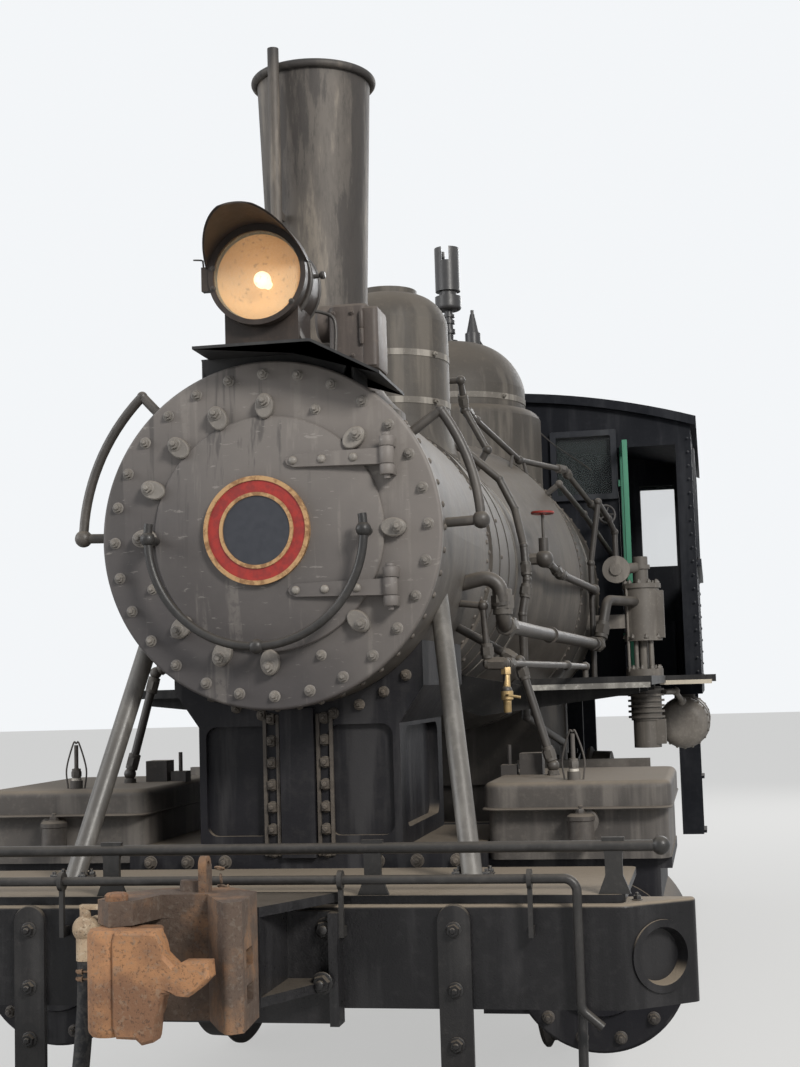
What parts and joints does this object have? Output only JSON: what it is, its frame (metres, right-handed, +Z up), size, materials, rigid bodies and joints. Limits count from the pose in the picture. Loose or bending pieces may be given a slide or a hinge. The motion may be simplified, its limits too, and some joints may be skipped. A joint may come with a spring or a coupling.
{
  "type": "steam locomotive",
  "caption": "Small six-coupled steam switching engine with boiler, side cylinders, cab and coupled driving wheels that turn; doors swing on hinges.",
  "frame": {"origin": "middle of the length and width, level with the lowest points of the wheel flanges", "axes": "+Y to the rear, the front coupler towards -Y, +X to the engine's left side, +Z up"},
  "size_m": [2.968, 8.6, 4.213],
  "materials": {
    "driver_iron": "black painted cast iron, greasy and dusty",
    "rod_steel": "oiled forged steel, dark with grime",
    "frame_black": "rough gloss black over heavy steel",
    "coupler_rust": "bare cast steel with orange rust",
    "cock_brass": "dull pale brass, dusty",
    "hose_rubber": "black rubber",
    "fitting_iron": "painted cast iron",
    "cylinder_black": "semi-gloss black, streaked",
    "smokebox_graphite": "warm dark graphite paint, semi-matt",
    "plate_red": "red ring with raised gold rims and a black centre",
    "lamp_black": "worn black paint",
    "lamp_glass": "clear lamp glass",
    "boiler_black": "brownish black paint, semi-matt",
    "valve_bronze": "brown tarnished bronze",
    "cab_black": "blue-black paint, semi-gloss",
    "door_green": "dull green paint",
    "window_glass": "clear window glass"
  },
  "bodies": {
    "engine": {"air_hose": "hose_rubber", "air_pump": "fitting_iron", "angle_cock": "cock_brass", "boiler": "boiler_black", "boiler_pipes": "boiler_black", "bumper_beam": "frame_black", "cab_floor": "cab_black", "cab_front": "cab_black", "cab_rear": "cab_black", "cab_roof": "cab_black", "cab_sides": "cab_black", "cab_windows": "window_glass", "coupler_head": "coupler_rust", "coupler_knuckle": "coupler_rust", "crosshead_guides_left": "rod_steel", "crosshead_guides_right": "rod_steel", "cylinder_left": "cylinder_black", "cylinder_right": "cylinder_black", "draft_casting": "coupler_rust", "footboards": "frame_black", "frame_left": "frame_black", "frame_right": "frame_black", "frame_ties": "frame_black", "front_deck": "frame_black", "front_rails": "frame_black", "headlight": "lamp_black", "headlight_glass": "lamp_glass", "headlight_platform": "smokebox_graphite", "hose_coupling": "fitting_iron", "main_rod_left": "rod_steel", "main_rod_right": "rod_steel", "running_boards": "frame_black", "safety_valves": "valve_bronze", "sand_dome": "boiler_black", "smokebox": "smokebox_graphite", "smokebox_braces": "frame_black", "smokebox_front": "smokebox_graphite", "smokestack": "smokebox_graphite", "springs": "frame_black", "steam_chest_left": "cylinder_black", "steam_chest_right": "cylinder_black", "steam_dome": "boiler_black"},
    "wheelset_main": {"axle_main": "driver_iron", "wheel_main_left": "driver_iron", "wheel_main_right": "driver_iron"},
    "wheelset_front": {"axle_front": "driver_iron", "wheel_front_left": "driver_iron", "wheel_front_right": "driver_iron"},
    "wheelset_rear": {"axle_rear": "driver_iron", "wheel_rear_left": "driver_iron", "wheel_rear_right": "driver_iron"},
    "rod_left": {"side_rod_left": "rod_steel"},
    "rod_right": {"side_rod_right": "rod_steel"},
    "smokebox_leaf": {"smokebox_door": "smokebox_graphite", "door_handrail": "smokebox_graphite", "number_plate": "plate_red"},
    "cab_leaf_left": {"cab_door_left": "door_green", "cab_door_pane_left": "window_glass"},
    "cab_leaf_right": {"cab_door_right": "door_green", "cab_door_pane_right": "window_glass"}
  },
  "joints": [
    {"name": "main_axle_turn", "type": "hinge", "parent": "engine", "child": "wheelset_main", "pos_m": [0, 0.3, 0.587], "axis": [1, 0, 0], "continuous": true},
    {"name": "front_axle_turn", "type": "hinge", "parent": "engine", "child": "wheelset_front", "pos_m": [0, -1.15, 0.587], "axis": [1, 0, 0], "continuous": true},
    {"name": "rear_axle_turn", "type": "hinge", "parent": "engine", "child": "wheelset_rear", "pos_m": [0, 1.75, 0.587], "axis": [1, 0, 0], "continuous": true},
    {"name": "side_rod_turn_left", "type": "hinge", "parent": "wheelset_main", "child": "rod_left", "pos_m": [0.898, 0.12506, 0.33716], "axis": [1, 0, 0], "continuous": true},
    {"name": "side_rod_turn_right", "type": "hinge", "parent": "wheelset_main", "child": "rod_right", "pos_m": [-0.898, 0.54984, 0.41206], "axis": [1, 0, 0], "continuous": true},
    {"name": "smokebox_door_hinge", "type": "hinge", "parent": "engine", "child": "smokebox_leaf", "pos_m": [0.428, -3.152, 2.118], "axis": [0, 0, 1], "range_deg": [0, 100]},
    {"name": "cab_door_hinge_left", "type": "hinge", "parent": "engine", "child": "cab_leaf_left", "pos_m": [0.942, 1.62, 2.3], "axis": [0, 0, 1], "range_deg": [0, 84]},
    {"name": "cab_door_hinge_right", "type": "hinge", "parent": "engine", "child": "cab_leaf_right", "pos_m": [-0.942, 1.62, 2.3], "axis": [0, 0, 1], "range_deg": [0, 90]}
  ],
  "couplings": [
    {"joint": "front_axle_turn", "follows": "main_axle_turn", "ratio": 1},
    {"joint": "rear_axle_turn", "follows": "main_axle_turn", "ratio": 1},
    {"joint": "side_rod_turn_left", "follows": "main_axle_turn", "ratio": -1},
    {"joint": "side_rod_turn_right", "follows": "main_axle_turn", "ratio": -1}
  ]
}
